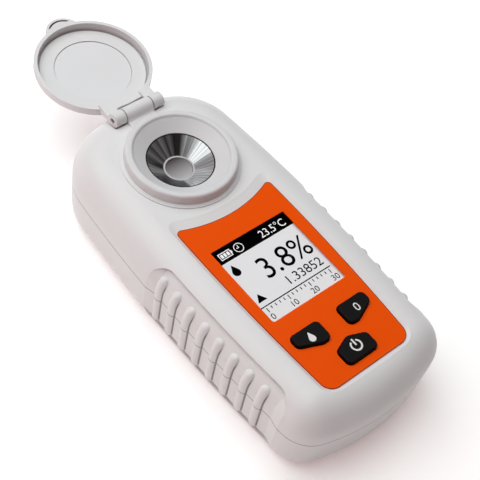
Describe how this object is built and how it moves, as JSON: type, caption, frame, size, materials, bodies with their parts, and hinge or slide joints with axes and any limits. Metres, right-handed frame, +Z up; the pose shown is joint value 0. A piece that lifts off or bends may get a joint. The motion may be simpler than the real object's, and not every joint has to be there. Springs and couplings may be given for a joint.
{
  "type": "digital refractometer",
  "caption": "Hand-held digital refractometer: ribbed case, hinged lid open over a round steel sample well, orange front label with display and rubber keys.",
  "frame": {"origin": "middle of the flat back, on the surface that the instrument lies on", "axes": "+Z up out of the display face, +Y towards the sample well and the lid, +X to the right when the display is read"},
  "size_m": [0.066, 0.1749, 0.035],
  "materials": {
    "shell": "fine satin moulding, light grey",
    "collar": "fine satin moulding, light grey",
    "lid": "satin moulding, light grey",
    "liner": "smooth light grey disc",
    "label": "printed film, orange with a light grey panel",
    "window": "clear window",
    "lcd": "reflective liquid crystal glass",
    "backlight": "white frame",
    "key_rubber": "matt black silicone",
    "polished_steel": "polished stainless steel",
    "steel": "plain steel",
    "prism_glass": "optical glass, clear",
    "seal": "black seal",
    "board": "green circuit board",
    "component": "black moulded component",
    "lamp": "clear amber-white lamp",
    "ribbon": "flat amber ribbon",
    "cell": "wrapped dry cell"
  },
  "bodies": {
    "case": {"top_shell": "shell", "bottom_shell": "shell", "shell_gasket": "seal", "battery_cell_left": "cell", "battery_cell_right": "cell", "bridge_contact": "steel", "positive_contact": "steel", "negative_contact": "steel", "contact_springs": "steel", "front_label": "label", "display_window": "window", "display_glass": "lcd", "display_frame": "backlight", "main_board": "board", "board_screws": "steel", "processor": "component", "buzzer": "component", "ribbon_socket": "component", "key_mat": "key_rubber", "key_switches": "component", "well_collar": "collar", "sample_cup": "polished_steel", "prism": "prism_glass", "prism_seal": "seal", "optics_block": "component", "optics_screws": "steel", "sensor_board": "board", "lamp_board": "board", "image_sensor": "component", "light_source": "lamp", "condenser_lens": "prism_glass", "temperature_sensor": "component", "sensor_ribbon": "ribbon", "hinge_pin": "steel", "case_screws": "steel"},
    "lid": {"lid": "lid", "lid_liner": "liner"},
    "meas_key": {"meas_key": "key_rubber"},
    "zero_key": {"zero_key": "key_rubber"},
    "power_key": {"power_key": "key_rubber"},
    "battery_door": {"battery_door": "shell"}
  },
  "joints": [
    {"name": "lid_hinge", "type": "hinge", "parent": "case", "child": "lid", "pos_m": [0, 0.0598, 0.0324], "axis": [1, 0, 0], "range_deg": [0, 178]},
    {"name": "meas_key_press", "type": "slide", "parent": "case", "child": "meas_key", "axis": [0, 0, -1], "range_m": [0, 0.0008], "stiffness_N_per_m": 600},
    {"name": "zero_key_press", "type": "slide", "parent": "case", "child": "zero_key", "axis": [0, 0, -1], "range_m": [0, 0.0008], "stiffness_N_per_m": 600},
    {"name": "power_key_press", "type": "slide", "parent": "case", "child": "power_key", "axis": [0, 0, -1], "range_m": [0, 0.0008], "stiffness_N_per_m": 600},
    {"name": "battery_door_slide", "type": "slide", "parent": "case", "child": "battery_door", "axis": [0, -1, 0], "range_m": [0, 0.056]}
  ]
}
